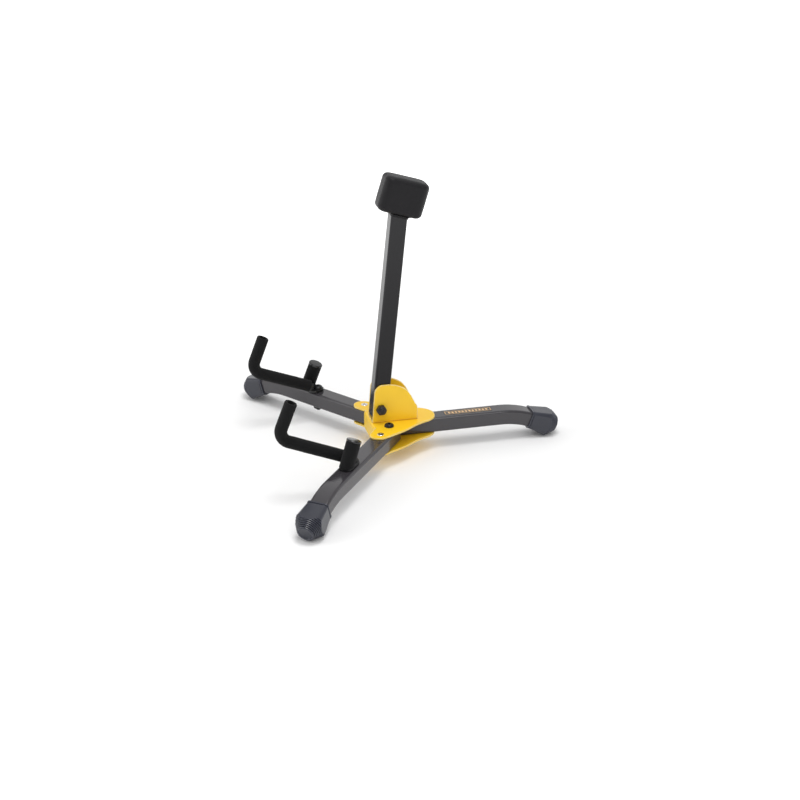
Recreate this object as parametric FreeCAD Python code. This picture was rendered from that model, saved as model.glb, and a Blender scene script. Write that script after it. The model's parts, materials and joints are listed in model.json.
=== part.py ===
import FreeCAD, Part

import math
import os

from FreeCAD import Vector as V

# Folding mini saxophone stand. Millimetres, +Z up, the rear leg points along +X, and the stand is
# symmetrical about the XZ plane. It is built about the hub, whose centre is X = 0, Y = 0 with the
# floor at Z = 0, and is moved at the end so that the origin is the middle of its base.

# Rectangular tube of the legs and square tube of the post
LEG_WIDE = 20.6
LEG_TALL = 17.0
LEG_CORNER = 3.0
POST_WIDE = 17.6
POST_CORNER = 2.4
TUBE_WALL = 1.5

# Legs
LEG_TOP = 36.0
LEG_UNDER = LEG_TOP - LEG_TALL
LEG_MID = LEG_TOP - LEG_TALL / 2
LEG_BEND = 20.0
LEG_BEND_R = 96.0
LEG_TAIL = 21.0
FRONT_ANGLE = 127.0
FRONT_OFFSET = 6.3
FRONT_START = 12.0
FRONT_SLEEVE = 189.6
REAR_START = -5.0
REAR_SLEEVE = 151.9

# Hub plates and bracket
SHEET = 1.8
PLAY = 0.2
WEB_X = -29.3
WEB_HALF = 23.0
SHEET_BEND_R = 2.8
LOBE_X = -27.2
LOBE_Y = 40.0
LOBE_R = 9.7
PLATE_FLANK = (
    (-5.7, 39.8), (6.0, 33.1), (14.0, 27.0), (21.0, 22.1), (28.0, 18.6), (34.4, 15.8), (39.6, 11.6)
)
PLATE_TIP_X = 43.9
CHEEK_OUT = 10.85
CHEEK_FOOT_X = (-27.4, 22.5)
CHEEK_FRONT_TOP = (-24.8, 73.0)
CHEEK_CORNER_MID = (-22.5, 78.1)
CHEEK_CROWN = (
    (-15.6, 81.4), (-8.0, 81.3), (-2.0, 80.1), (4.0, 77.9), (9.0, 74.8), (13.0, 70.3),
    (16.9, 63.8), (20.6, 56.2), (22.5, 49.0)
)

# Label on the rear leg
LABEL_SIZE = (54.0, 9.0, 0.25)
LABEL_X = 55.5
LABEL_CORNER = 1.0

# Fasteners
M6_R = 3.0
HOLE_R = 3.1
HEAD_R = 5.25
HEAD_H = 3.3
SOCKET_R = 1.9
SOCKET_DEEP = 1.8
SHANK_CHAMFER = 0.6
NUT_FLATS = 10.0
NUT_H = 4.6
NUT_COLLAR_H = 1.6
NUT_COLLAR_R = 4.4
NUT_BORE_R = 3.03
LOW_NUT_H = 3.2
LOW_COLLAR_H = 0.9
BUSH_R = 4.25
BUSH_BORE_R = 3.05
RIVET_R = 2.4
RIVET_HOLE_R = 2.43
RIVET_HEAD_R = 4.4
POST_WASHER_R = 7.0

# Leg pivots and detents, as distances along a front leg's centre line
PIVOT_T = 19.4
DETENT_T = 41.8
DETENT_BALL_R = 3.5
DETENT_HOLE_R = 3.0
BALL_PLAY = 0.06
EYELET_R = 2.96
EYELET_RIM_R = 3.7
EYELET_BORE_R = 1.3

# Post
POST_X = -17.85
POST_Z = 53.6
POST_LEAN = 5.7
POST_BELOW = 10.0
POST_ABOVE = 229.4
POST_BALL_UP = 22.8
POST_BALL_R = 2.5
PLUG_STEM = 14.0
PLUG_HEAD = 2.5

# Pad
PAD_CENTRE = V(7.9, 0, 285.7)
PAD_TILT = 16.7
PAD_SIZE = (47.9, 27.4, 37.2)
PAD_SIDE_R = 8.5
PAD_RIM_R = 5.0

# Support arm on the left leg
SWIVEL_T = 111.0
PEG_T = 126.3
ARM_FOOT = V(-75.4, 92.0, 43.2)
ARM_CORNER = V(-142.8, 89.4, 69.4)
ARM_TIP = V(-127.9, 90.0, 107.9)
ARM_BEND_R = 12.0
ROD_R = 4.0
ARM_FOAM_R = 6.7
PEG_LEAN = V(8.8, -3.8, 26.6)
PEG_LENGTH = 29.2
PEG_FOAM_R = 7.7
PEG_CAP_H = 2.2
ARM_PLATE_T = 2.5
ARM_PLATE_EDGE = 6.2
ARM_WELD = V(-70.9, 92.6, 0)
ARM_WELD_X = -77.6
ARM_WELD_SIZE = (4.2, 6.0)
ARM_ROD_BACK = 2.2
ARM_FOAM_GAP = 1.4
ARM_MOUTH_DEEP = 4.5
ARM_WASHER_T = 0.5
ARM_WASHER_R = 6.6
LOW_WASHER_T = 1.0
LOW_WASHER_R = 6.0

# Rubber foot
FOOT_LENGTH = 34.4
FOOT_START = (11.6, 10.1)
FOOT_END = (15.0, 15.1)
FOOT_CORNER = 3.6
FOOT_END_CORNER = 5.4
FOOT_LIP = 1.6
FOOT_GROOVE = 0.9
FOOT_END_R = 8.3
FOOT_DISH = 0.9
TREAD_STEPS = 9
TREAD_PITCH = 1.5
TREAD_RISE = 1.0
TREAD_GROOVE = 0.8

X = V(1, 0, 0)
Y = V(0, 1, 0)
Z = V(0, 0, 1)
O = V(0, 0, 0)


# ---- general shapes

def polygon(points):
    return Part.makePolygon(points + [points[0]])


def rounded_section(wide, tall, corner, at):
    """A closed wire, square to the X axis: wide along Y and tall along Z, with rounded corners."""
    y = wide / 2
    z = tall / 2
    diagonal = corner * (1 - math.sqrt(0.5))
    edges = []
    for one, two in ((1, 1), (-1, 1), (-1, -1), (1, -1)):
        side = V(at, one * y, two * (z - corner))
        middle = V(at, one * (y - diagonal), two * (z - diagonal))
        over = V(at, one * (y - corner), two * z)
        edges.append(Part.Arc(side, middle, over).toShape())
    for one in (1, -1):
        edges.append(Part.LineSegment(
            V(at, one * y, corner - z), V(at, one * y, z - corner)
        ).toShape())
        edges.append(Part.LineSegment(
            V(at, corner - y, one * z), V(at, y - corner, one * z)
        ).toShape())
    return Part.Wire(Part.__sortEdges__(edges))


def bar_along_x(wide, tall, corner, start, end):
    return Part.Face(rounded_section(wide, tall, corner, start)).extrude(X * (end - start))


def cylinder(radius, start, end):
    way = end - start
    return Part.makeCylinder(radius, way.Length, start, way)


def ring(outer, inner, start, end):
    way = (end - start).normalize()
    return cylinder(outer, start, end).cut(cylinder(inner, start - way, end + way))


def revolve_about(points, start, way):
    """Turns an outline of (along, radius) points about the line through start along way."""
    face = Part.Face(polygon([V(r, 0, along) for along, r in points]))
    solid = face.revolve(O, Z, 360)
    solid.Placement = FreeCAD.Placement(start, FreeCAD.Rotation(Z, way))
    return solid


def button_head(start, way, radius, height):
    """A low domed head whose flat side lies at start."""
    steps = 8
    dome = [
        (height * math.sin(math.radians(a)), radius * (0.45 + 0.55 * math.cos(math.radians(a))))
        for a in (90 * i / steps for i in range(steps + 1))
    ]
    deep = height - SOCKET_DEEP
    socket = [(height + 1, 0), (height + 1, SOCKET_R), (deep, SOCKET_R), (deep, 0)]
    head = revolve_about([(0, 0), (0, radius)] + dome[1:] + [(height, 0)], start, way)
    return head.cut(revolve_about(socket, start, way))


def lock_nut(start, way, tall=NUT_H, collar_h=NUT_COLLAR_H):
    """A hexagon nut with the round collar of its locking insert, bored for the bolt."""
    reach = NUT_FLATS / math.sqrt(3)
    points = [
        V(reach * math.cos(math.radians(60 * i)), reach * math.sin(math.radians(60 * i)), 0)
        for i in range(6)
    ]
    hexagon = Part.Face(polygon(points)).extrude(Z * tall)
    hexagon.Placement = FreeCAD.Placement(start, FreeCAD.Rotation(Z, way))
    bevel = [(0, 0), (0, reach), (tall - 1, reach), (tall, reach * 0.88), (tall, 0)]
    end = tall + collar_h
    collar = [
        (tall - 0.2, 0), (tall - 0.2, NUT_COLLAR_R), (end - 0.7, NUT_COLLAR_R),
        (end, NUT_COLLAR_R - 0.7), (end, 0),
    ]
    nut = hexagon.common(revolve_about(bevel, start, way)).fuse(revolve_about(collar, start, way))
    return nut.cut(cylinder(NUT_BORE_R, start - way, start + way * (end + 1)))


def bolt(head_at, way, length):
    """A button-head bolt: the head's flat side is at head_at, and the shank runs against way."""
    shank = cylinder(M6_R, head_at + way * 0.5, head_at - way * length)
    tip = [(0, 0), (0, M6_R), (SHANK_CHAMFER, M6_R - SHANK_CHAMFER), (SHANK_CHAMFER, 0)]
    end = revolve_about(tip, head_at - way * length, way * -1)
    return button_head(head_at, way, HEAD_R, HEAD_H).fuse(shank).fuse(end).removeSplitter()


def coil_spring(start, way, length, radius, wire_r, turns):
    """A coil of round wire, wound on a smooth curve through 12 points a turn."""
    count = 12 * turns
    rise = (length - 2 * wire_r) / count
    points = []
    for step in range(count + 1):
        turn = math.radians(30 * step)
        points.append(V(radius * math.cos(turn), radius * math.sin(turn), wire_r + rise * step))
    line = Part.BSplineCurve()
    line.interpolate(Points=points)
    section = Part.Wire(Part.makeCircle(wire_r, points[0], line.tangent(line.FirstParameter)[0]))
    coil = Part.Wire(line.toShape()).makePipeShell([section], True, True)
    coil.Placement = FreeCAD.Placement(start, FreeCAD.Rotation(Z, way)).multiply(coil.Placement)
    return coil


def rod_along(start, corner, end, bend, radius):
    """A round rod with one bend."""
    one = (start - corner).normalize()
    two = (end - corner).normalize()
    half = one.getAngle(two) / 2
    back = bend / math.tan(half)
    middle = (one + two).normalize()
    mid = corner + middle * (bend / math.sin(half) - bend)
    path = Part.Wire([
        Part.LineSegment(start, corner + one * back).toShape(),
        Part.Arc(corner + one * back, mid, corner + two * back).toShape(),
        Part.LineSegment(corner + two * back, end).toShape(),
    ])
    section = Part.Wire(Part.makeCircle(radius, start, one * -1))
    return path.makePipeShell([section], True, False)


# ---- legs

def bent_bar(wide, tall, corner, start, sleeve):
    """A solid bar along X that bends down before the point sleeve."""
    straight = sleeve - LEG_BEND_R * math.sin(math.radians(LEG_BEND))
    centre = V(straight, 0, -LEG_BEND_R)
    run = bar_along_x(wide, tall, corner, start, straight)
    end = Part.Face(rounded_section(wide, tall, corner, straight))
    elbow = end.revolve(centre, Y, LEG_BEND)
    tail = end.extrude(X * LEG_TAIL)
    tail.rotate(centre, Y, LEG_BEND)
    bar = run.fuse([elbow, tail]).removeSplitter()
    bar.translate(Z * LEG_MID)
    return bar


def leg_tube(start, sleeve):
    outer = bent_bar(LEG_WIDE, LEG_TALL, LEG_CORNER, start, sleeve)
    wide = LEG_WIDE - 2 * TUBE_WALL
    tall = LEG_TALL - 2 * TUBE_WALL
    return outer.cut(bent_bar(wide, tall, LEG_CORNER - TUBE_WALL, start - 1, sleeve))


def rubber_foot():
    """A cap along X, open at X = 0: a sleeve that flares, ending in a stepped round tread."""
    wide = 2 * FOOT_START[0]
    tall = 2 * FOOT_START[1]
    body_from = FOOT_LIP + FOOT_GROOVE
    lip = bar_along_x(wide + 0.3, tall + 0.3, FOOT_CORNER, 0, FOOT_LIP)
    groove = bar_along_x(wide - 1.8, tall - 1.8, FOOT_CORNER - 0.6, 0, body_from)
    body = Part.makeLoft(
        [
            rounded_section(wide, tall, FOOT_CORNER, body_from),
            rounded_section(2 * FOOT_END[0], 2 * FOOT_END[1], FOOT_END_CORNER, FOOT_LENGTH),
        ],
        True,
        True,
    )
    tread_from = FOOT_LENGTH - TREAD_STEPS * TREAD_PITCH
    outline = [(0, 0), (0, 40), (tread_from, 40)]
    for step in range(TREAD_STEPS):
        radius = FOOT_END_R + TREAD_RISE * (TREAD_STEPS - step)
        low = radius - TREAD_RISE - TREAD_GROOVE
        along = tread_from + TREAD_PITCH * step
        outline += [(along, radius), (along + 0.9, radius - 0.1)]
        outline += [(along + 1.0, low), (along + 1.4, low)]
    outline += [
        (FOOT_LENGTH - 0.35, FOOT_END_R), (FOOT_LENGTH, FOOT_END_R - 0.4),
        (FOOT_LENGTH, FOOT_END_R - 1.1), (FOOT_LENGTH - FOOT_DISH, FOOT_END_R - 1.6),
        (FOOT_LENGTH - FOOT_DISH, 0),
    ]
    body = body.common(revolve_about(outline, O, X))
    cap = body.fuse([lip, groove])
    return cap.cut(bar_along_x(LEG_WIDE, LEG_TALL, LEG_CORNER, -1, LEG_TAIL))


def foot_on(sleeve):
    """The foot at the end of a bent leg, cut flat where it stands on the floor."""
    drop = LEG_BEND_R * (1 - math.cos(math.radians(LEG_BEND)))
    foot = rubber_foot()
    foot.rotate(O, Y, LEG_BEND)
    foot.translate(V(sleeve, 0, LEG_MID - drop))
    floor = Part.makeBox(200, 200, 50, V(sleeve - 100, -100, -50))
    return foot.cut(floor)


def to_front_leg(shape):
    """Moves a shape from the X axis to the left front leg."""
    shape.rotate(O, Z, FRONT_ANGLE)
    shape.translate(V(0, FRONT_OFFSET, 0))
    return shape


def on_front_leg(along, height):
    angle = math.radians(FRONT_ANGLE)
    return V(along * math.cos(angle), FRONT_OFFSET + along * math.sin(angle), height)


# ---- hub

TOP_PLATE_Z = LEG_TOP + PLAY
BOTTOM_PLATE_Z = LEG_UNDER - PLAY - SHEET
BRACKET_Z = TOP_PLATE_Z + SHEET
PIVOT = on_front_leg(PIVOT_T, 0)
DETENT = on_front_leg(DETENT_T, 0)
SWIVEL = on_front_leg(SWIVEL_T, 0)
RIVETS_X = (3.0, 17.0)


def plate_half_outline():
    """The left half of the three-lobed outline, from the middle of the front edge to the rear tip."""
    front = WEB_X + SHEET_BEND_R
    lobe = V(LOBE_X, LOBE_Y, 0)
    out = (on_front_leg(1, 0) - on_front_leg(0, 0)).normalize()
    shoulder = lobe + V(-math.cos(math.radians(24)), -math.sin(math.radians(24)), 0) * LOBE_R
    leave_at = math.radians(62)
    leave = lobe + V(math.cos(leave_at), math.sin(leave_at), 0) * LOBE_R
    tip = V(PLATE_TIP_X, 0, 0)
    flank = Part.BSplineCurve()
    flank.interpolate(
        Points=[leave] + [V(x, y, 0) for x, y in PLATE_FLANK] + [tip],
        InitialTangent=V(math.sin(leave_at), -math.cos(leave_at), 0),
        FinalTangent=Y * -1,
    )
    return [
        Part.LineSegment(V(front, 0, 0), V(front, WEB_HALF, 0)).toShape(),
        Part.LineSegment(V(front, WEB_HALF, 0), shoulder).toShape(),
        Part.Arc(shoulder, lobe + out * LOBE_R, leave).toShape(),
        flank.toShape(),
    ]


def hub_plate(height):
    left = plate_half_outline()
    right = [edge.mirror(O, Y) for edge in left]
    plate = Part.Face(Part.Wire(Part.__sortEdges__(left + right))).extrude(Z * SHEET)
    holes = [cylinder(RIVET_HOLE_R, V(x, 0, -1), V(x, 0, 5)) for x in RIVETS_X]
    for side in (1, -1):
        at = V(PIVOT.x, side * PIVOT.y, 0)
        holes.append(cylinder(HOLE_R, at - Z, at + Z * 5))
        seen = V(DETENT.x, side * DETENT.y, 0)
        holes.append(cylinder(DETENT_HOLE_R, seen - Z, seen + Z * 5))
    plate = plate.cut(holes)
    plate.translate(Z * height)
    return plate


def channel(front, low, high, bend):
    """A block from front to beyond the web, with its two front edges rounded, as wide as the web."""
    block = Part.makeBox(40, 2 * WEB_HALF, high - low, V(front, -WEB_HALF, low))
    edges = [
        edge for edge in block.Edges
        if edge.BoundBox.XMax < front + 0.01 and edge.BoundBox.YLength > 1
    ]
    return block.makeFillet(bend, edges)


def hub_shell():
    """One bent sheet: a top and a bottom three-lobed plate, joined by a web across the front."""
    low = BOTTOM_PLATE_Z
    high = TOP_PLATE_Z + SHEET
    web = channel(WEB_X, low, high, SHEET_BEND_R)
    web = web.cut(channel(WEB_X + SHEET, low + SHEET, high - SHEET, SHEET_BEND_R - SHEET))
    beyond = WEB_X + SHEET_BEND_R + 0.5
    web = web.cut(Part.makeBox(60, 100, 60, V(beyond, -50, 0)))
    return web.fuse([hub_plate(TOP_PLATE_Z), hub_plate(low)]).removeSplitter()


def cheek_face():
    """The side outline of the bracket, on the plane Y = 0."""
    front, back = (V(x, 0, BRACKET_Z) for x in CHEEK_FOOT_X)
    front_top = V(CHEEK_FRONT_TOP[0], 0, CHEEK_FRONT_TOP[1])
    corner = V(CHEEK_CORNER_MID[0], 0, CHEEK_CORNER_MID[1])
    crown = [V(x, 0, z) for x, z in CHEEK_CROWN]
    top = Part.BSplineCurve()
    top.interpolate(Points=crown, InitialTangent=X, FinalTangent=Z * -1)
    return Part.Face(Part.Wire([
        Part.LineSegment(back, front).toShape(),
        Part.LineSegment(front, front_top).toShape(),
        Part.Arc(front_top, corner, crown[0]).toShape(),
        top.toShape(),
        Part.LineSegment(crown[-1], back).toShape(),
    ]))


def post_bracket():
    """A U of sheet: two cheeks that rise from a base lying on the top plate."""
    inside = CHEEK_OUT - SHEET
    front, back = CHEEK_FOOT_X
    length = back - front
    tall = 60.0
    block = Part.makeBox(length, 2 * CHEEK_OUT, tall, V(front, -CHEEK_OUT, BRACKET_Z))
    lower = [
        edge for edge in block.Edges
        if abs(edge.BoundBox.ZMax - BRACKET_Z) < 0.01 and edge.BoundBox.XLength > length - 1
    ]
    block = block.makeFillet(1.5, lower)
    block = block.cut(Part.makeBox(
        length + 2, 2 * inside, tall, V(front - 1, -inside, BRACKET_Z + SHEET)
    ))
    profile = cheek_face()
    profile.translate(Y * -20)
    bracket = block.common(profile.extrude(Y * 40))
    pivot = V(POST_X, 0, POST_Z)
    holes = [cylinder(HOLE_R, pivot - Y * 20, pivot + Y * 20)]
    holes += [cylinder(RIVET_HOLE_R, V(x, 0, 30), V(x, 0, 45)) for x in RIVETS_X]
    dimple = post_point(POST_BALL_UP) - Y * (inside - 0.01)
    holes.append(revolve_about([(0, 0), (0, 2.0), (0.8, 0.9), (0.8, 0)], dimple, Y * -1))
    return bracket.cut(holes)


def detent_eyelets():
    """Hard rings set in the top plate where the detent balls click in."""
    at = DETENT + Z * TOP_PLATE_Z
    neck = cylinder(EYELET_R, at, at + Z * SHEET)
    rim = [(0, 0), (0, EYELET_RIM_R), (0.25, EYELET_RIM_R), (0.55, EYELET_RIM_R - 0.5), (0.55, 0)]
    bore = [(-3, 0), (-3, EYELET_BORE_R), (2.3, EYELET_BORE_R), (2.9, EYELET_BORE_R + 0.6), (2.9, 0)]
    eyelet = neck.fuse(revolve_about(rim, at + Z * SHEET, Z)).removeSplitter()
    return both_sides(eyelet.cut(revolve_about(bore, at, Z)))


def hub_rivets():
    """Two round-headed rivets through bracket, top plate, rear leg and bottom plate."""
    top = BRACKET_Z + SHEET
    rivets = []
    for x in RIVETS_X:
        dome = [(0, 0), (0, RIVET_HEAD_R), (0.7, 4.2), (1.3, 3.4), (1.8, 2.0), (2.0, 0)]
        upper = revolve_about(dome, V(x, 0, top), Z)
        lower = revolve_about(dome, V(x, 0, BOTTOM_PLATE_Z), Z * -1)
        shank = cylinder(RIVET_R, V(x, 0, BOTTOM_PLATE_Z - 0.5), V(x, 0, top + 0.5))
        rivets.append(upper.fuse([lower, shank]).removeSplitter())
    return Part.Compound(rivets)


def rear_leg():
    holes = [cylinder(RIVET_HOLE_R, V(x, 0, 0), V(x, 0, 60)) for x in RIVETS_X]
    return leg_tube(REAR_START, REAR_SLEEVE).cut(holes)


def label_strip():
    long, wide, thick = LABEL_SIZE
    strip = Part.makeBox(long, wide, thick, V(LABEL_X, -wide / 2, LEG_TOP))
    upright = [edge for edge in strip.Edges if edge.BoundBox.ZLength > thick / 2]
    return strip.makeFillet(LABEL_CORNER, upright)


def both_sides(shape):
    return Part.Compound([shape, shape.mirror(O, Y)])


# ---- left front leg

def front_leg():
    leg = to_front_leg(leg_tube(FRONT_START, FRONT_SLEEVE))
    holes = [
        cylinder(BUSH_R, PIVOT, PIVOT + Z * 60),
        cylinder(DETENT_BALL_R + BALL_PLAY, DETENT + Z * LEG_MID, DETENT + Z * 60),
        cylinder(M6_R + 0.1, SWIVEL, SWIVEL + Z * 60),
    ]
    return leg.cut(holes)


def leg_bush():
    lift = PLAY - 0.05
    return ring(
        BUSH_R, BUSH_BORE_R, PIVOT + Z * (LEG_UNDER - lift), PIVOT + Z * (LEG_TOP + lift)
    )


def detent_parts(seat, way, ball_at, ball_r):
    """(ball, spring, cup): the cup stands on seat, and the ball's far side is at ball_at."""
    centre = ball_at - way * ball_r
    ball = Part.makeSphere(ball_r, centre)
    cup_bore = ball_r + 0.15
    cup_top = centre + way * 0.5
    cup = cylinder(cup_bore + 0.7, seat, cup_top)
    cup = cup.cut(cylinder(cup_bore, seat + way, cup_top + way))
    wire = 0.35
    radius = ball_r - 0.7
    under = math.sqrt((ball_r + wire) ** 2 - radius ** 2)
    length = (centre - seat).Length - 1.0 - under + wire
    spring = coil_spring(seat + way, way, length, radius, wire, 4)
    return ball, spring, cup


# ---- left support arm

def arm_plate():
    """A rounded triangular plate under the peg, the arm's weld and the swivel bolt."""
    low = LEG_TOP + ARM_WASHER_T
    peg = on_front_leg(PEG_T, 0)
    triangle = Part.Face(polygon([SWIVEL, peg, ARM_WELD]))
    plate = triangle.makeOffset2D(ARM_PLATE_EDGE, join=0)
    plate = plate.extrude(Z * ARM_PLATE_T)
    plate.translate(Z * low)
    plate = plate.cut(cylinder(M6_R + 0.05, SWIVEL, SWIVEL + Z * 60))
    return plate


def arm_rod(face):
    way = (ARM_CORNER - ARM_FOOT).normalize()
    tip_way = (ARM_TIP - ARM_CORNER).normalize()
    start = ARM_FOOT - way * ARM_ROD_BACK
    end = ARM_TIP - tip_way * ARM_MOUTH_DEEP
    rod = rod_along(start, ARM_CORNER, end, ARM_BEND_R, ROD_R)
    long, wide = ARM_WELD_SIZE
    at = V(ARM_WELD_X, ARM_FOOT.y - wide / 2, face)
    weld = Part.makeBox(long, wide, ARM_FOOT.z - face, at)
    return rod.fuse(weld).removeSplitter()


def arm_foam(rod, peg_foam):
    way = (ARM_CORNER - ARM_FOOT).normalize()
    start = ARM_FOOT + way * ARM_FOAM_GAP
    sleeve = rod_along(start, ARM_CORNER, ARM_TIP, ARM_BEND_R, ARM_FOAM_R)
    tip_way = (ARM_TIP - ARM_CORNER).normalize()
    mouth = cylinder(ROD_R, ARM_TIP - tip_way * (ARM_MOUTH_DEEP + 0.5), ARM_TIP + tip_way)
    return sleeve.cut([rod, mouth, peg_foam])


def peg_parts(face):
    """(rod, foam, cap): the leaning peg that stands on the arm plate."""
    foot = on_front_leg(PEG_T, face)
    way = V(PEG_LEAN.x, PEG_LEAN.y, PEG_LEAN.z).normalize()
    top = foot + way * PEG_LENGTH
    below = Part.makeBox(60, 60, 30, V(foot.x - 30, foot.y - 30, face - 30))
    rod = cylinder(ROD_R, foot - way * 5, top - way * PEG_CAP_H).cut(below)
    foam = cylinder(PEG_FOAM_R, foot - way * 8, top - way * PEG_CAP_H).cut([below, rod])
    r = PEG_FOAM_R + 0.15
    outline = [(0, 0), (0, r), (1.3, r), (1.8, r - 0.5), (2.0, r - 1.6), (PEG_CAP_H, 0)]
    cap = revolve_about(outline, top - way * PEG_CAP_H, way)
    return rod, foam, cap


# ---- post

def post_point(up):
    angle = math.radians(POST_LEAN)
    return V(POST_X + up * math.sin(angle), 0, POST_Z + up * math.cos(angle))


def on_post(shape):
    """Moves a shape from the X axis to the leaning post."""
    shape.rotate(O, Y, POST_LEAN - 90)
    shape.translate(V(POST_X, 0, POST_Z))
    return shape


def post_tube():
    tube = bar_along_x(POST_WIDE, POST_WIDE, POST_CORNER, -POST_BELOW, POST_ABOVE)
    bore = POST_WIDE - 2 * TUBE_WALL
    inner = POST_CORNER - TUBE_WALL
    tube = tube.cut(bar_along_x(bore, bore, inner, -POST_BELOW - 1, POST_ABOVE + 1))
    pivot = V(POST_X, 0, POST_Z)
    ball = post_point(POST_BALL_UP)
    return on_post(tube).cut([
        cylinder(BUSH_R, pivot - Y * 20, pivot + Y * 20),
        cylinder(POST_BALL_R + BALL_PLAY, ball, ball - Y * 20),
    ])


def post_plug():
    """The plastic plug that closes the post's upper end and carries the pad."""
    bore = POST_WIDE - 2 * TUBE_WALL
    stem = bar_along_x(bore, bore, POST_CORNER - TUBE_WALL, POST_ABOVE - PLUG_STEM, POST_ABOVE)
    head = bar_along_x(POST_WIDE, POST_WIDE, POST_CORNER, POST_ABOVE, POST_ABOVE + PLUG_HEAD)
    return on_post(stem.fuse(head).removeSplitter())


def foam_pad():
    long, wide, tall = PAD_SIZE
    block = Part.makeBox(long, wide, tall, V(-long / 2, -wide / 2, -tall / 2))
    upright = [edge for edge in block.Edges if edge.BoundBox.ZLength > tall - 1]
    block = block.makeFillet(PAD_SIDE_R, upright)
    rims = [edge for edge in block.Edges if edge.BoundBox.ZLength < 0.01]
    block = block.makeFillet(PAD_RIM_R, rims)
    block.rotate(O, Y, PAD_TILT)
    block.translate(PAD_CENTRE)
    wide = POST_WIDE + 0.04
    filling = bar_along_x(wide, wide, POST_CORNER + 0.02, 0, POST_ABOVE + PLUG_HEAD)
    return block.cut(on_post(filling))


# ---- the whole stand

def build():
    parts = {}
    top = BRACKET_Z
    bottom = BOTTOM_PLATE_Z
    parts["hub_shell"] = hub_shell()
    parts["post_bracket"] = post_bracket()
    parts["rear_leg_tube"] = rear_leg()
    parts["rear_foot"] = foot_on(REAR_SLEEVE)
    parts["hub_rivets"] = hub_rivets()
    parts["detent_eyelets"] = detent_eyelets()
    parts["label_strip"] = label_strip()
    reach = top - bottom + NUT_H + NUT_COLLAR_H + 0.8
    parts["leg_pivot_bolts"] = both_sides(bolt(PIVOT + Z * top, Z, reach))
    parts["leg_pivot_nuts"] = both_sides(lock_nut(PIVOT + Z * bottom, Z * -1))

    pivot = V(POST_X, 0, POST_Z)
    parts["post_pivot_bolt"] = bolt(pivot + Y * CHEEK_OUT, Y, 2 * CHEEK_OUT + NUT_H + 2.2)
    parts["post_pivot_nut"] = lock_nut(pivot - Y * CHEEK_OUT, Y * -1)
    gap = CHEEK_OUT - SHEET
    washer = ring(POST_WASHER_R, HOLE_R, pivot + Y * (POST_WIDE / 2 + 0.05), pivot + Y * gap)
    parts["post_pivot_washers"] = both_sides(washer)

    washer_top = LEG_TOP + ARM_WASHER_T - 0.05
    arm_face = LEG_TOP + ARM_WASHER_T + ARM_PLATE_T
    under = LEG_UNDER - LOW_WASHER_T
    peg_rod, peg_foam, peg_cap = peg_parts(arm_face)
    rod = arm_rod(arm_face)
    ball, spring, cup = detent_parts(
        DETENT + Z * (LEG_UNDER + TUBE_WALL),
        Z,
        DETENT + Z * (LEG_TOP + PLAY - 0.05),
        DETENT_BALL_R,
    )
    bolt_reach = arm_face - under + LOW_NUT_H + LOW_COLLAR_H + 0.6
    left = {
        "leg_tube": front_leg(),
        "foot": to_front_leg(foot_on(FRONT_SLEEVE)),
        "pivot_bush": leg_bush(),
        "detent_ball": ball,
        "detent_spring": spring,
        "detent_cup": cup,
        "arm_bolt": bolt(SWIVEL + Z * arm_face, Z, bolt_reach),
        "arm_washers": Part.Compound([
            ring(ARM_WASHER_R, HOLE_R, SWIVEL + Z * LEG_TOP, SWIVEL + Z * washer_top),
            ring(LOW_WASHER_R, HOLE_R, SWIVEL + Z * under, SWIVEL + Z * LEG_UNDER),
        ]),
        "arm_nut": lock_nut(SWIVEL + Z * under, Z * -1, LOW_NUT_H, LOW_COLLAR_H),
        "arm_plate": arm_plate(),
        "arm_rod": rod,
        "arm_foam": arm_foam(rod, peg_foam),
        "peg_rod": peg_rod,
        "peg_foam": peg_foam,
        "peg_cap": peg_cap,
    }
    for name, shape in left.items():
        parts["left_" + name] = shape
        parts["right_" + name] = shape.mirror(O, Y)

    parts["post_tube"] = post_tube()
    bush_end = POST_WIDE / 2 - 0.05
    parts["post_bush"] = ring(BUSH_R, BUSH_BORE_R, pivot - Y * bush_end, pivot + Y * bush_end)
    seat = post_point(POST_BALL_UP) + Y * (POST_WIDE / 2 - TUBE_WALL)
    ball_side = post_point(POST_BALL_UP) - Y * (gap - 0.1)
    ball, spring, cup = detent_parts(seat, Y * -1, ball_side, POST_BALL_R)
    parts["post_detent_ball"] = ball
    parts["post_detent_spring"] = spring
    parts["post_detent_cup"] = cup
    parts["post_end_plug"] = post_plug()
    parts["pad"] = foam_pad()
    return parts


def middle_of_base(parts):
    """How far the stand has to move along X for its origin to be the middle of its base."""
    boxes = [shape.optimalBoundingBox() for shape in parts.values()]
    return -(min(box.XMin for box in boxes) + max(box.XMax for box in boxes)) / 2


def main():
    os.makedirs("parts", exist_ok=True)
    parts = build()
    shift = middle_of_base(parts)
    for name, shape in parts.items():
        shape.translate(X * shift)
        shape.exportStep(os.path.join("parts", name + ".step"))
        solids = len(shape.Solids)
        print(f"{name}: {solids} solid(s), {shape.Volume:.1f} mm3, valid {shape.isValid()}")
    print(f"moved {shift:.4f} mm along X")
    for name, point in (
        ("leg pivot", PIVOT), ("swivel", SWIVEL), ("post pivot", V(POST_X, 0, POST_Z))
    ):
        print(f"{name}: {point.x + shift:.4f}, {point.y:.4f}, {point.z:.4f}")


main()
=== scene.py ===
import json
import math

import bmesh
import bpy
from mathutils import Matrix, Vector, noise


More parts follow.
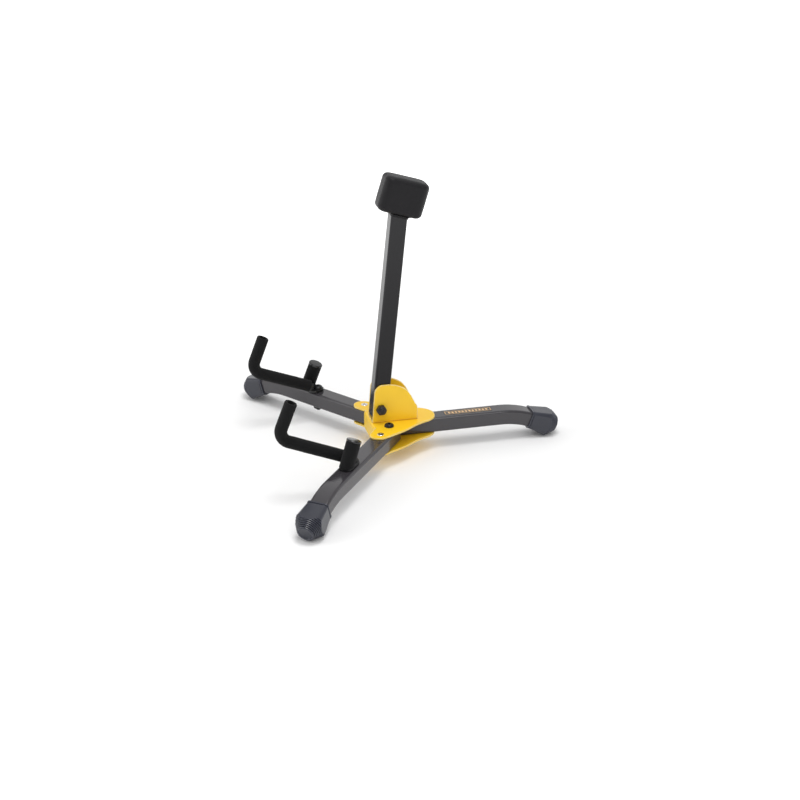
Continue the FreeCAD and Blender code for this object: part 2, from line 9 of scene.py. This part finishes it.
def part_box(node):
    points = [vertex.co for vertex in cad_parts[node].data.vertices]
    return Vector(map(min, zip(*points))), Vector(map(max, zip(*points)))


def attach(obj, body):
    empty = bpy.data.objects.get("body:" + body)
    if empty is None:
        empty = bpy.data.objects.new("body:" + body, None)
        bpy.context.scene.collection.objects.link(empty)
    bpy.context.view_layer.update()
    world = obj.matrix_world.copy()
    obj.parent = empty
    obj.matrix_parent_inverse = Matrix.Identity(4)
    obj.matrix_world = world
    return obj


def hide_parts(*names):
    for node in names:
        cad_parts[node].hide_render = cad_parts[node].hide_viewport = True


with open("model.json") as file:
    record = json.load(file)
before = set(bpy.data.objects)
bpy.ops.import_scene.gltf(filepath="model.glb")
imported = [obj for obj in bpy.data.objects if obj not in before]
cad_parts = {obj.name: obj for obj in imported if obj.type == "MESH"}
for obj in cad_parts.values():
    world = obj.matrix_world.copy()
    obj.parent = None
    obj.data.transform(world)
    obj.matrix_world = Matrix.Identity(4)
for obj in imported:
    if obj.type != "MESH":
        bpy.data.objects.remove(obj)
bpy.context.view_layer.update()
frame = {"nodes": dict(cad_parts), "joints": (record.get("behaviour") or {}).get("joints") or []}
MM = 0.001
JOINTS = {joint["name"]: joint for joint in frame["joints"]}

# ---- where things are, in millimetres about the hub as in the CAD source

PIVOT_X = -11.675
HUB_X = JOINTS["left_leg_fold"]["pos_m"][0] / MM - PIVOT_X
SIDES = {"left": 1, "right": -1}

ARM_FOOT = Vector((-75.4, 92.0, 43.2))
ARM_CORNER = Vector((-142.8, 89.4, 69.4))
ARM_TIP = Vector((-127.9, 90.0, 107.9))
ARM_BEND_R = 12.0
ROD_R = 4.0
ROD_GAP = 0.06
FOAM_SKIN = 0.12
FOAM_PITCH = 0.45
ARM_FOAM_R = 6.7
ARM_FOAM_GAP = 1.4
PEG_FOOT = Vector((-76.01, 107.17, 39.0))
PEG_WAY = Vector((8.8, -3.8, 26.6)).normalized()
PEG_LENGTH = 29.2
PEG_FOAM_R = 7.7
PEG_CAP_H = 2.2
POST_FOOT = Vector((-17.85, 0, 53.6))
POST_LEAN = math.radians(5.7)
POST_HALF = 8.8
POST_CORNER = 2.4
PAD_CENTRE = Vector((7.9, 0, 285.7))
PAD_TILT = math.radians(16.7)
PAD_HALF = (23.95, 13.7, 18.6)
PAD_SIDE_R = 8.5
PAD_RIM_R = 5.0
COLLAR_WALL = 0.9
COLLAR_FLARE = 2.6
COLLAR_GAP = 0.12


def placed(point, side=1):
    """A point about the hub, in millimetres, as a point of the record frame, in metres."""
    return Vector(((point.x + HUB_X) * MM, point.y * side * MM, point.z * MM))


# ---- materials

EDGE_GAIN = 12.0


class Shader:
    """A node material, with short ways to add the nodes that its surfaces need."""

    def __init__(self, name):
        self.material = bpy.data.materials.new(name)
        self.material.use_nodes = True
        self.tree = self.material.node_tree
        self.surface = self.tree.nodes["Principled BSDF"]
        self.where = self.node("ShaderNodeTexCoord").outputs["Object"]

    def node(self, kind, inputs=None, **settings):
        made = self.tree.nodes.new(kind)
        for key, value in settings.items():
            setattr(made, key, value)
        for key, value in (inputs or {}).items():
            self.feed(made.inputs[key], value)
        return made

    def feed(self, socket, value):
        if isinstance(value, bpy.types.NodeSocket):
            self.tree.links.new(value, socket)
        else:
            socket.default_value = value

    def set(self, **values):
        for key, value in values.items():
            self.feed(self.surface.inputs[key.replace("_", " ")], value)

    def noise(self, scale, detail=2.0, rough=0.5, stretch=None):
        where = self.where
        if stretch:
            where = self.node("ShaderNodeMapping", {"Vector": where, "Scale": stretch}).outputs[0]
        return self.node("ShaderNodeTexNoise", {
            "Vector": where, "Scale": scale, "Detail": detail, "Roughness": rough,
        }).outputs["Fac"]

    def cells(self, scale):
        return self.node(
            "ShaderNodeTexVoronoi", {"Vector": self.where, "Scale": scale}
        ).outputs["Distance"]

    def ramp(self, value, *stops):
        """Grey levels at places of value: (place, level), ..."""
        made = self.node("ShaderNodeValToRGB", {"Fac": value})
        line = made.color_ramp.elements
        while len(line) < len(stops):
            line.new(0.5)
        for element, (place, level) in zip(line, stops):
            element.position = place
            element.color = (level, level, level, 1)
        return made.outputs["Color"]

    def calc(self, kind, one, two=0.0, clamp=False):
        made = self.node("ShaderNodeMath", operation=kind, use_clamp=clamp)
        self.feed(made.inputs[0], one)
        self.feed(made.inputs[1], two)
        return made.outputs[0]

    def blend(self, share, one, two):
        """Colour one where share is 0 and colour two where it is 1."""
        made = self.node("ShaderNodeMix", {"Factor": share}, data_type="RGBA")
        for socket, value in ((made.inputs[6], one), (made.inputs[7], two)):
            self.feed(socket, value if isinstance(value, bpy.types.NodeSocket) else (*value, 1))
        return made.outputs[2]

    def span(self, value, low, high):
        """value, which runs from 0 to 1, as a number from low to high."""
        return self.node("ShaderNodeMapRange", {
            "Value": value, "To Min": low, "To Max": high,
        }).outputs[0]

    def rounded(self, radius):
        """(the normal of softly rounded edges, how near an edge a point is from 0 to 1)."""
        bevel = self.node("ShaderNodeBevel", {"Radius": radius}, samples=4).outputs[0]
        true = self.node("ShaderNodeNewGeometry").outputs["Normal"]
        along = self.node("ShaderNodeVectorMath", operation="DOT_PRODUCT")
        self.feed(along.inputs[0], bevel)
        self.feed(along.inputs[1], true)
        off = self.calc("SUBTRACT", 1.0, along.outputs["Value"], True)
        return bevel, self.calc("MULTIPLY", off, EDGE_GAIN, True)

    def bump(self, height, depth, normal=None, strength=1.0):
        inputs = {"Height": height, "Distance": depth, "Strength": strength}
        if normal is not None:
            inputs["Normal"] = normal
        return self.node("ShaderNodeBump", inputs).outputs[0]


def scaled(colour, by):
    return tuple(min(1.0, c * by) for c in colour)


def powder_coat(name, colour, rough, edge_colour, edge_radius, peel=0.000006, spec=0.5):
    """Baked powder coat: slight orange peel, fine specks, paint thinner and lighter on edges, the
    lightness partly worn paint and partly a painted highlight.
    """
    s = Shader(name)
    broad = s.noise(35, 3)
    speck = s.ramp(s.noise(2600, 1), (0.36, 0.0), (0.5, 0.5), (0.68, 1.0))
    base = s.blend(broad, scaled(colour, 0.95), scaled(colour, 1.05))
    base = s.blend(s.calc("MULTIPLY", speck, 0.07), base, scaled(colour, 1.2))
    normal, edge = s.rounded(edge_radius)
    # edges painted lighter in patches: partly paint worn thin, partly a painted highlight along the
    # edges
    patchy_mask = s.calc("MULTIPLY", edge, s.ramp(s.noise(500, 3), (0.3, 0.7), (0.65, 1.0)), True)
    base = s.blend(patchy_mask, base, edge_colour)
    dust = s.noise(240, 4, 0.6)
    s.set(Base_Color=base, Roughness=s.span(dust, rough - 0.04, rough + 0.05))
    normal = s.bump(s.noise(420, 2), peel, normal)
    s.set(Normal=s.bump(s.noise(2400, 1), peel * 0.1, normal), Specular_IOR_Level=spec)
    return s.material


def rubber(name, colour, rough):
    """Moulded rubber: mottled, faint flow lines, edges painted lighter as a painted highlight."""
    s = Shader(name)
    broad = s.noise(60, 4, 0.6)
    base = s.blend(broad, scaled(colour, 0.8), scaled(colour, 1.2))
    normal, edge = s.rounded(0.0006)
    # painted highlight: colour much lighter near the edges
    base = s.blend(s.calc("MULTIPLY", edge, 0.6), base, scaled(colour, 3.6))
    grit = s.noise(1500, 3, 0.7)
    s.set(Base_Color=base, Roughness=s.span(grit, rough - 0.08, rough + 0.1))
    s.set(Normal=s.bump(grit, 0.00001, s.bump(s.noise(240, 2), 0.00003, normal)))
    return s.material


def foam(name, colour, cell=2300, depth=0.00012, rough=0.9, spec=0.2):
    """Closed-cell foam: fine open pores in a matt skin, the pores painted darker as painted shade."""
    s = Shader(name)
    pores = s.ramp(s.cells(cell), (0.0, 0.0), (0.35, 0.55), (0.8, 1.0))
    fine = s.noise(cell * 1.7, 3, 0.7)
    broad = s.noise(90, 4, 0.6)
    base = s.blend(broad, scaled(colour, 0.75), scaled(colour, 1.3))
    # painted shade: the pits of the pores darker
    base = s.blend(s.calc("MULTIPLY", s.calc("SUBTRACT", 1.0, pores), 0.6), base, scaled(colour, 0.3))
    s.set(Base_Color=base, Roughness=s.span(fine, rough - 0.08, rough + 0.08))
    normal = s.bump(pores, depth)
    s.set(Normal=s.bump(fine, depth * 0.5, s.bump(broad, 0.0002, normal)))
    s.set(Specular_IOR_Level=spec, Sheen_Weight=0.03, Sheen_Roughness=0.6)
    return s.material


def metal(name, colour, rough):
    """Plated or bare steel with fine tool marks and a painted highlight that makes its edges
    brighter.
    """
    s = Shader(name)
    marks = s.noise(900, 3, 0.6, (0.08, 0.08, 3.0))
    cloud = s.noise(160, 4, 0.6)
    normal, near = s.rounded(0.0003)
    base = s.blend(cloud, scaled(colour, 0.85), scaled(colour, 1.1))
    # painted highlight: colour brighter near the edges
    base = s.blend(s.calc("MULTIPLY", near, 0.6), base, scaled(colour, 1.5))
    s.set(Base_Color=base, Metallic=1.0, Roughness=s.span(marks, rough - 0.06, rough + 0.1))
    s.set(Normal=s.bump(marks, 0.000008, normal, 0.25))
    return s.material


def oxide(name, colour, rough):
    """Black oxide on steel: dark, a little mottled, lighter in patches on its edges, partly rubbed
    wear and partly a painted highlight.
    """
    s = Shader(name)
    cloud = s.noise(300, 4, 0.6)
    normal, near = s.rounded(0.0004)
    base = s.blend(cloud, scaled(colour, 0.7), scaled(colour, 1.3))
    # edges painted lighter in patches: partly rubbed wear, partly a painted highlight
    rubbed_and_highlit = s.calc("MULTIPLY", near, s.ramp(s.noise(1200, 3), (0.35, 0.2), (0.7, 0.9)), True)
    base = s.blend(rubbed_and_highlit, base, (0.16, 0.16, 0.17))
    s.set(Base_Color=base, Metallic=0.35, Roughness=s.span(cloud, rough - 0.08, rough + 0.12))
    s.set(Normal=s.bump(s.noise(1800, 2), 0.00001, normal))
    return s.material


def plastic(name, colour, rough):
    """Moulded plastic with a fine spark-eroded texture and edges painted lighter as a painted
    highlight.
    """
    s = Shader(name)
    grain = s.noise(2200, 3, 0.7)
    normal, near = s.rounded(0.0004)
    base = s.blend(s.noise(120, 3), scaled(colour, 0.85), scaled(colour, 1.15))
    # painted highlight: colour lighter near the edges
    base = s.blend(s.calc("MULTIPLY", near, 0.5), base, scaled(colour, 3.0))
    s.set(Base_Color=base, Roughness=s.span(grain, rough - 0.06, rough + 0.1))
    s.set(Normal=s.bump(grain, 0.00002, normal))
    return s.material


LOZENGES = 14.0
LOZENGE_ROW = 0.43
FRAME_OUTSIDE = (0.483, 0.40)
FRAME_INSIDE = (0.470, 0.33)


def label_film():
    """A printed film: a thin frame round a row of plain lozenges.

    Places on it run from 0 to 1 along each way, and distances are from its middle."""
    low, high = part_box("label_strip")
    s = Shader("label_film")
    parts = s.node("ShaderNodeSeparateXYZ", {"Vector": s.where}).outputs

    def along(value, start, end):
        return s.node("ShaderNodeMapRange", {
            "Value": value, "From Min": start, "From Max": end,
        }).outputs[0]

    u = along(parts["X"], low.x, high.x)
    v = along(parts["Y"], low.y, high.y)
    mid_u = s.calc("ABSOLUTE", s.calc("SUBTRACT", u, 0.5))
    mid_v = s.calc("ABSOLUTE", s.calc("SUBTRACT", v, 0.5))

    def beyond(limits):
        far_u, far_v = (
            s.calc("GREATER_THAN", mid, limit) for mid, limit in zip((mid_u, mid_v), limits)
        )
        return s.calc("MAXIMUM", far_u, far_v)

    line = s.calc("SUBTRACT", beyond(FRAME_INSIDE), beyond(FRAME_OUTSIDE), True)
    step = s.calc("FRACT", s.calc("MULTIPLY", u, LOZENGES))
    step = s.calc("ABSOLUTE", s.calc("SUBTRACT", step, 0.5))
    lozenge = s.calc("LESS_THAN", s.calc("ADD", step, s.calc("MULTIPLY", mid_v, 1.6)), 0.42)
    lozenge = s.calc("MULTIPLY", lozenge, s.calc("LESS_THAN", mid_u, LOZENGE_ROW))
    print_on = s.calc("MAXIMUM", line, lozenge)
    ink = s.noise(700, 3, 0.6)
    ground = s.blend(s.noise(90, 3), (0.035, 0.03, 0.03), (0.05, 0.043, 0.042))
    gold = s.blend(ink, (0.72, 0.40, 0.14), (0.88, 0.62, 0.34))
    patchy_mask = s.calc("MULTIPLY", print_on, s.ramp(s.noise(1300, 2), (0.3, 0.75), (0.5, 1.0)))
    s.set(Base_Color=s.blend(patchy_mask, ground, gold), Roughness=s.span(ink, 0.32, 0.45))
    s.set(Normal=s.bump(print_on, 0.00003, s.bump(ink, 0.00001)))
    return s.material


# the edge colour of each powder coat stands partly for worn paint and partly for a painted edge
# highlight
LOOKS = {
    "yellow_paint": powder_coat(
        "yellow_paint", (0.91, 0.575, 0.019), 0.33, (1.0, 0.93, 0.60), 0.0012, spec=0.4
    ),
    "leg_paint": powder_coat(
        "leg_paint", (0.042, 0.039, 0.044), 0.14, (0.13, 0.125, 0.135), 0.0004, 0.000003, 0.6
    ),
    "post_paint": powder_coat(
        "post_paint", (0.005, 0.0045, 0.006), 0.16, (0.06, 0.06, 0.065), 0.0004, spec=0.3
    ),
    "foot_rubber": rubber("foot_rubber", (0.030, 0.032, 0.044), 0.2),
    "sleeve_foam": foam("sleeve_foam", (0.0060, 0.0060, 0.0065)),
    "pad_foam": foam("pad_foam", (0.0085, 0.008, 0.0095), 3400, 0.00005, 0.45, 0.16),
    "black_oxide": oxide("black_oxide", (0.012, 0.012, 0.013), 0.38),
    "bright_zinc": metal("bright_zinc", (0.78, 0.78, 0.80), 0.22),
    "spring_steel": metal("spring_steel", (0.45, 0.45, 0.47), 0.3),
    "nylon": plastic("nylon", (0.07, 0.07, 0.072), 0.5),
    "cap_plastic": plastic("cap_plastic", (0.006, 0.006, 0.0065), 0.16),
    "label_film": label_film(),
}

CAD_LOOKS = {
    "hub_shell": "yellow_paint", "post_bracket": "yellow_paint",
    "rear_leg_tube": "leg_paint", "rear_foot": "foot_rubber", "hub_rivets": "bright_zinc",
    "detent_eyelets": "bright_zinc", "label_strip": "label_film",
    "leg_pivot_bolts": "black_oxide", "leg_pivot_nuts": "black_oxide",
    "post_pivot_bolt": "black_oxide", "post_pivot_nut": "black_oxide",
    "post_pivot_washers": "nylon", "post_tube": "post_paint", "post_bush": "nylon",
    "post_detent_ball": "bright_zinc", "post_detent_spring": "spring_steel",
    "post_detent_cup": "nylon", "post_end_plug": "cap_plastic", "pad": "pad_foam",
}
SIDE_LOOKS = {
    "leg_tube": "leg_paint", "foot": "foot_rubber", "pivot_bush": "nylon",
    "detent_ball": "bright_zinc", "detent_spring": "spring_steel", "detent_cup": "nylon",
    "arm_bolt": "black_oxide", "arm_washers": "black_oxide", "arm_nut": "black_oxide",
    "arm_plate": "black_oxide", "arm_rod": "black_oxide", "arm_foam": "sleeve_foam",
    "peg_rod": "black_oxide", "peg_foam": "sleeve_foam", "peg_cap": "cap_plastic",
}
for side in SIDES:
    CAD_LOOKS.update({f"{side}_{part}": look for part, look in SIDE_LOOKS.items()})
for name, node in frame["nodes"].items():
    node.data.materials.clear()
    node.data.materials.append(LOOKS[CAD_LOOKS[name]])


# ---- foam pieces

def mesh_object(name, rings, look, closed=False, caps=()):
    """A mesh of rings of points, each joined to the next, with fans over the ends named in caps."""
    work = bmesh.new()
    rows = [[work.verts.new(point) for point in ring] for ring in rings]
    pairs = list(zip(rows, rows[1:]))
    if closed:
        pairs.append((rows[-1], rows[0]))
    for one, two in pairs:
        for i in range(len(one)):
            j = (i + 1) % len(one)
            work.faces.new((one[i], one[j], two[j], two[i]))
    for end in caps:
        row = rows[end]
        centre = work.verts.new(sum((v.co for v in row), Vector()) / len(row))
        for i in range(len(row)):
            work.faces.new((row[i], row[(i + 1) % len(row)], centre))
    bmesh.ops.recalc_face_normals(work, faces=work.faces)
    for face in work.faces:
        face.smooth = True
    data = bpy.data.meshes.new(name)
    work.to_mesh(data)
    work.free()
    data.materials.append(LOOKS[look])
    made = bpy.data.objects.new(name, data)
    bpy.context.scene.collection.objects.link(made)
    return made


def bent_line(start, corner, end, bend, pitch):
    """Points and directions along two straight runs with an arc between, about pitch apart.

    Each row is (point, direction, share), and share is how far into the arc it is, from 0 to 1 or
    None on a straight run."""
    one = (start - corner).normalized()
    two = (end - corner).normalized()
    half = one.angle(two) / 2
    back = bend / math.tan(half)
    arc_from = corner + one * back
    arc_to = corner + two * back
    centre = corner + (one + two).normalized() * (bend / math.sin(half))
    axis = (-one).cross(two).normalized()
    sweep = math.pi - 2 * half
    rows = []

    def run(a, b, last):
        count = max(2, round((b - a).length / pitch))
        for i in range(count + (1 if last else 0)):
            rows.append((a.lerp(b, i / count), (b - a).normalized(), None))

    run(start, arc_from, False)
    count = max(6, round(sweep * bend / pitch))
    for i in range(count):
        turn = Matrix.Rotation(sweep * i / count, 3, axis)
        rows.append((centre + turn @ (arc_from - centre), turn @ -one, i / count))
    run(arc_to, end, True)
    return rows, axis


AROUND = 72
FOAM_WAVES = ((0.10, 0.11), (0.05, 0.45), (0.030, 1.6))
SEED_STEP = (31.7, 11.3, 5.9)


def foam_swell(point, seed):
    """The unevenness of cut foam, in millimetres: a sum of waves of (height, how close together)."""
    at = point + Vector([seed * step for step in SEED_STEP])
    return sum(height * noise.noise(at * close) for height, close in FOAM_WAVES)


def ring_of(centre, across, up, radius):
    """A ring of points at radius(angle) from centre, in the plane of across and up."""
    return [
        centre + across * (radius(a) * math.cos(a)) + up * (radius(a) * math.sin(a))
        for a in (2 * math.pi * i / AROUND for i in range(AROUND))
    ]


def arm_sleeve(side, seed):
    """The foam sleeve of a J arm: soft cut ends, an open mouth at the tip and creases in the bend."""
    way = (ARM_CORNER - ARM_FOOT).normalized()
    start = ARM_FOOT + way * ARM_FOAM_GAP
    rows, axis = bent_line(start, ARM_CORNER, ARM_TIP, ARM_BEND_R, FOAM_PITCH)
    body = ARM_FOAM_R - FOAM_SKIN
    creases = 5

    def outer_ring(centre, ahead, share, from_end):
        inward = axis.cross(ahead).normalized()
        soften = 0.45 * math.exp(-((from_end / 0.55) ** 2))
        bent = 0.0 if share is None else math.sin(math.pi * share)

        def radius(a):
            at = centre + (inward * math.cos(a) + axis * math.sin(a)) * body
            r = body - soften + foam_swell(at, seed)
            if bent:
                inside = max(0.0, math.cos(a)) ** 2
                r += bent * inside * (0.22 * math.sin(share * creases * 2 * math.pi) - 0.18)
                r -= bent * 0.12 * max(0.0, -math.cos(a))
            return r

        return ring_of(centre, inward, axis, radius)

    def flat_ring(row, along, r):
        inward = axis.cross(row[1]).normalized()
        return ring_of(row[0] + row[1] * along, inward, axis, lambda a: r)

    first, last = rows[0], rows[-1]
    bore = ROD_R + ROD_GAP
    rings = [
        outer_ring(*row, min(k, len(rows) - 1 - k) * FOAM_PITCH) for k, row in enumerate(rows)
    ]
    rings += [
        flat_ring(last, along, r)
        for along, r in ((0.12, body - 1.0), (0.05, body - 1.7), (-0.15, ROD_R + 0.35), (-0.6, bore))
    ]
    rings += [flat_ring(row, 0.0, bore) for row in reversed(rows[1:-2:3])]
    rings += [flat_ring(first, 0.1, bore), flat_ring(first, -0.1, body - 1.4)]
    rings = [[placed(p, SIDES[side]) for p in ring] for ring in rings]
    made = mesh_object(f"{side}_arm_sleeve", rings, "sleeve_foam", closed=True)
    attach(made, f"{side}_arm")
    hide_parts(f"{side}_arm_foam")
    return made


def peg_sleeve(side, seed):
    """The foam sleeve of a peg, cut level where it stands on the arm's plate."""
    across = PEG_WAY.orthogonal().normalized()
    up = PEG_WAY.cross(across)
    body = PEG_FOAM_R - FOAM_SKIN
    bore = ROD_R + ROD_GAP
    end = PEG_LENGTH - PEG_CAP_H
    start = -3.0
    low = -2.0
    count = round((end - start) / FOAM_PITCH)
    bore_steps = 20
    floor = PEG_FOOT.z + 0.03

    def ring(along, r, swell=True):
        made = []
        for p in ring_of(PEG_FOOT + PEG_WAY * along, across, up, lambda a: r):
            if swell:
                out = (p - PEG_FOOT - PEG_WAY * along).normalized()
                p = p + out * foam_swell(p, seed)
            if p.z < floor:
                p = p + PEG_WAY * ((floor - p.z) / PEG_WAY.z)
            made.append(p)
        return made

    rings = []
    for k in range(count + 1):
        along = start + (end - start) * k / count
        soften = 0.35 * math.exp(-(((end - along) / 0.5) ** 2))
        rings.append(ring(along, body - soften))
    rings += [ring(end + 0.02, body - 1.2, False), ring(end + 0.02, bore, False)]
    for k in range(1, bore_steps + 1):
        rings.append(ring(end - (end - low) * k / bore_steps, bore, False))
    # rings wholly below the plate's face would lie on each other
    kept = []
    for r in rings:
        if kept and max((a - b).length for a, b in zip(r, kept[-1])) < 1e-4:
            continue
        kept.append(r)
    rings = [[placed(p, SIDES[side]) for p in r] for r in kept]
    made = mesh_object(f"{side}_peg_sleeve", rings, "sleeve_foam", closed=True)
    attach(made, f"{side}_arm")
    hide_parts(f"{side}_peg_foam")
    return made


def rounded_outline(half_x, half_y, corner, count):
    """Points evenly spaced along a rectangle with rounded corners, from the middle of its +X side."""
    flat_x, flat_y = half_x - corner, half_y - corner
    quarter = math.pi * corner / 2
    spans = [flat_y, quarter, 2 * flat_x, quarter, 2 * flat_y, quarter, 2 * flat_x, quarter, flat_y]
    total = sum(spans)
    points = []
    for i in range(count):
        d = total * i / count
        leg = 0
        while d > spans[leg]:
            d -= spans[leg]
            leg += 1
        if leg in (0, 8):
            points.append((half_x, d if leg == 0 else d - flat_y))
        elif leg == 2:
            points.append((flat_x - d, half_y))
        elif leg == 4:
            points.append((-half_x, flat_y - d))
        elif leg == 6:
            points.append((-flat_x + d, -half_y))
        else:
            turn = math.pi / 2 * (leg - 1) / 2 + d / corner
            cx = flat_x if leg in (1, 7) else -flat_x
            cy = flat_y if leg in (1, 3) else -flat_y
            points.append((cx + corner * math.cos(turn), cy + corner * math.sin(turn)))
    return points


def backrest_pad():
    """The moulded pad: soft edges, faintly crowned faces and a short collar round the post."""
    count = 144
    top_rings = 14
    rim_rings = 12
    side_rings = 30
    collar_rings = 8
    half_x, half_y, half_z = PAD_HALF
    turn = Matrix.Rotation(PAD_TILT, 3, "Y")
    post_way = turn.inverted() @ Vector((math.sin(POST_LEAN), 0, math.cos(POST_LEAN)))
    post_at = turn.inverted() @ (POST_FOOT - PAD_CENTRE)

    def on_post(height):
        """Where the post's centre line is at a height in the pad's own axes."""
        return post_at + post_way * ((height - post_at.z) / post_way.z)

    def inset_ring(inset, height):
        outline = rounded_outline(
            half_x - inset, half_y - inset, PAD_SIDE_R - inset * 0.9, count
        )
        return [Vector((x, y, height)) for x, y in outline]

    def post_ring(grow, height):
        centre = on_post(height)
        outline = rounded_outline(
            POST_HALF / post_way.z + grow, POST_HALF + grow, POST_CORNER + grow, count
        )
        return [Vector((centre.x + x, y, height)) for x, y in outline]

    def mixed(one, two, share):
        return [a.lerp(b, share) for a, b in zip(one, two)]

    edge = inset_ring(PAD_RIM_R, half_z)
    centre = Vector((0, 0, half_z))
    rings = [[centre.lerp(p, k / top_rings) for p in edge] for k in range(1, top_rings)]
    rings.append(edge)
    for k in range(1, rim_rings):
        a = math.pi / 2 * k / rim_rings
        rings.append(inset_ring(
            PAD_RIM_R * (1 - math.sin(a)), half_z - PAD_RIM_R * (1 - math.cos(a))
        ))
    for k in range(side_rings + 1):
        rings.append(inset_ring(0, (half_z - PAD_RIM_R) * (1 - 2 * k / side_rings)))
    for k in range(1, rim_rings + 1):
        a = math.pi / 2 * k / rim_rings
        rings.append(inset_ring(
            PAD_RIM_R * (1 - math.cos(a)), -half_z + PAD_RIM_R * (1 - math.sin(a))
        ))
    under = rings[-1]
    neck = post_ring(COLLAR_WALL + COLLAR_FLARE, -half_z)
    for k in range(1, collar_rings + 1):
        rings.append(mixed(under, neck, k / collar_rings))
    for k in range(1, collar_rings + 1):
        a = math.pi / 2 * k / collar_rings
        rings.append(post_ring(
            COLLAR_WALL + COLLAR_FLARE * (1 - math.sin(a)), -half_z - COLLAR_FLARE * (1 - math.cos(a))
        ))
    low = -half_z - COLLAR_FLARE
    rings.append(post_ring(COLLAR_WALL - 0.25, low - 0.22))
    rings += [post_ring(COLLAR_GAP, low + height) for height in (-0.25, 1.5, 4)]

    def finished(p):
        swell = 0.5 * max(0.0, 1 - (p.x / half_x) ** 2) * max(0.0, 1 - (p.y / half_y) ** 2)
        up = swell if p.z > half_z - 0.01 else 0.0
        bulge = 0.0
        if abs(p.z) < half_z - 1:
            bulge = 0.22 * (1 - (p.z / half_z) ** 2)
        out = Vector((p.x / half_x ** 1.5, p.y / half_y ** 1.5, 0))
        if out.length > 0:
            out.normalize()
        loose = 0.10 * noise.noise(p * 0.09) + 0.04 * noise.noise(p * 0.4)
        near_post = min(1.0, max(0.0, (p.z + half_z) / 4))
        p = p + out * (bulge + loose * near_post) + Vector((0, 0, up + loose * near_post * 0.6))
        return placed(turn @ p + PAD_CENTRE)

    rings = [[finished(p) for p in ring] for ring in rings]
    made = mesh_object("backrest_pad", rings, "pad_foam", caps=(0, -1))
    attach(made, "post")
    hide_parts("pad")
    return made


for number, side in enumerate(SIDES):
    arm_sleeve(side, 1 + number)
    peg_sleeve(side, 4 + number)
backrest_pad()


# ---- floor, light and camera

FLOOR_HALF = 14.0
GLOW_REACH = (0.2, 0.9)
GLOW = 0.8
LIGHTS = (
    ("front", 8.0, 1.2, (0.1, -1.1, 1.3), (0, 0, 0)),
    ("overhead", 8.5, 0.6, (0.05, -0.15, 1.5), (0, 0, 0)),
    ("left", 3.5, 0.9, (-1.3, 0.1, 0.7), (0, 0, 0.05)),
)
SKY_LEVELS = (("Y", -0.5, 0.8, 0.3, 0.9), ("Z", 0.06, 0.2, 1.0, 0.0))
VIEW_AZIMUTH = math.radians(-13.8)
VIEW_ELEVATION = math.radians(24.1)
VIEW_DISTANCE = 1.5982
VIEW_AIM = Vector((-0.0099, 0.0197, 0.0484))
VIEW_LENS = 65.45


def floor():
    """A pale paper floor that glows more the further it is from the stand, as a lit sweep does."""
    half = FLOOR_HALF
    data = bpy.data.meshes.new("floor")
    corners = [(-half, -half, 0), (half, -half, 0), (half, half, 0), (-half, half, 0)]
    data.from_pydata(corners, [], [(0, 1, 2, 3)])
    made = bpy.data.objects.new("floor", data)
    bpy.context.scene.collection.objects.link(made)
    s = Shader("floor_paper")
    paper = s.blend(s.noise(3, 2), (0.93, 0.93, 0.93), (0.95, 0.95, 0.95))
    parts = s.node("ShaderNodeSeparateXYZ", {"Vector": s.where}).outputs
    flat = s.node("ShaderNodeCombineXYZ", {"X": parts["X"], "Y": parts["Y"], "Z": 0.0})
    away = s.node("ShaderNodeVectorMath", operation="LENGTH")
    s.feed(away.inputs[0], flat.outputs[0])
    near, far = GLOW_REACH
    glow = s.node("ShaderNodeMapRange", {
        "Value": away.outputs["Value"], "From Min": near, "From Max": far, "To Max": GLOW,
    }).outputs[0]
    s.set(Base_Color=paper, Roughness=0.9, Specular_IOR_Level=0.1)
    s.set(Emission_Color=(1, 1, 1, 1), Emission_Strength=glow)
    data.materials.append(s.material)


def area_light(name, energy, size, place, aim):
    lamp = bpy.data.lights.new(name, "AREA")
    lamp.energy = energy
    lamp.size = size
    made = bpy.data.objects.new(name, lamp)
    bpy.context.scene.collection.objects.link(made)
    made.location = place
    made.rotation_mode = "QUATERNION"
    made.rotation_quaternion = (Vector(aim) - Vector(place)).to_track_quat("-Z", "Y")


def studio():
    """A white background, brighter behind and at the horizon, with three softboxes."""
    world = bpy.data.worlds.new("studio")
    bpy.context.scene.world = world
    world.use_nodes = True
    tree = world.node_tree
    where = tree.nodes.new("ShaderNodeTexCoord")
    split = tree.nodes.new("ShaderNodeSeparateXYZ")
    tree.links.new(where.outputs["Generated"], split.inputs[0])
    brightest = tree.nodes.new("ShaderNodeMath")
    brightest.operation = "MAXIMUM"
    for socket, (axis, *ends) in enumerate(SKY_LEVELS):
        level = tree.nodes.new("ShaderNodeMapRange")
        tree.links.new(split.outputs[axis], level.inputs["Value"])
        for key, value in zip(("From Min", "From Max", "To Min", "To Max"), ends):
            level.inputs[key].default_value = value
        tree.links.new(level.outputs[0], brightest.inputs[socket])
    sky = tree.nodes["Background"]
    sky.inputs["Color"].default_value = (1, 1, 1, 1)
    tree.links.new(brightest.outputs[0], sky.inputs["Strength"])
    for light in LIGHTS:
        area_light(*light)
    bpy.context.scene.view_settings.view_transform = "Standard"


def camera():
    back = Vector((
        math.sin(VIEW_AZIMUTH) * math.cos(VIEW_ELEVATION),
        -math.cos(VIEW_AZIMUTH) * math.cos(VIEW_ELEVATION),
        math.sin(VIEW_ELEVATION),
    ))
    data = bpy.data.cameras.new("camera")
    data.lens = VIEW_LENS
    data.sensor_width = 36.0
    made = bpy.data.objects.new("camera", data)
    bpy.context.scene.collection.objects.link(made)
    made.location = VIEW_AIM + back * VIEW_DISTANCE
    made.rotation_mode = "QUATERNION"
    made.rotation_quaternion = (-back).to_track_quat("-Z", "Y")
    bpy.context.scene.camera = made


floor()
studio()
camera()
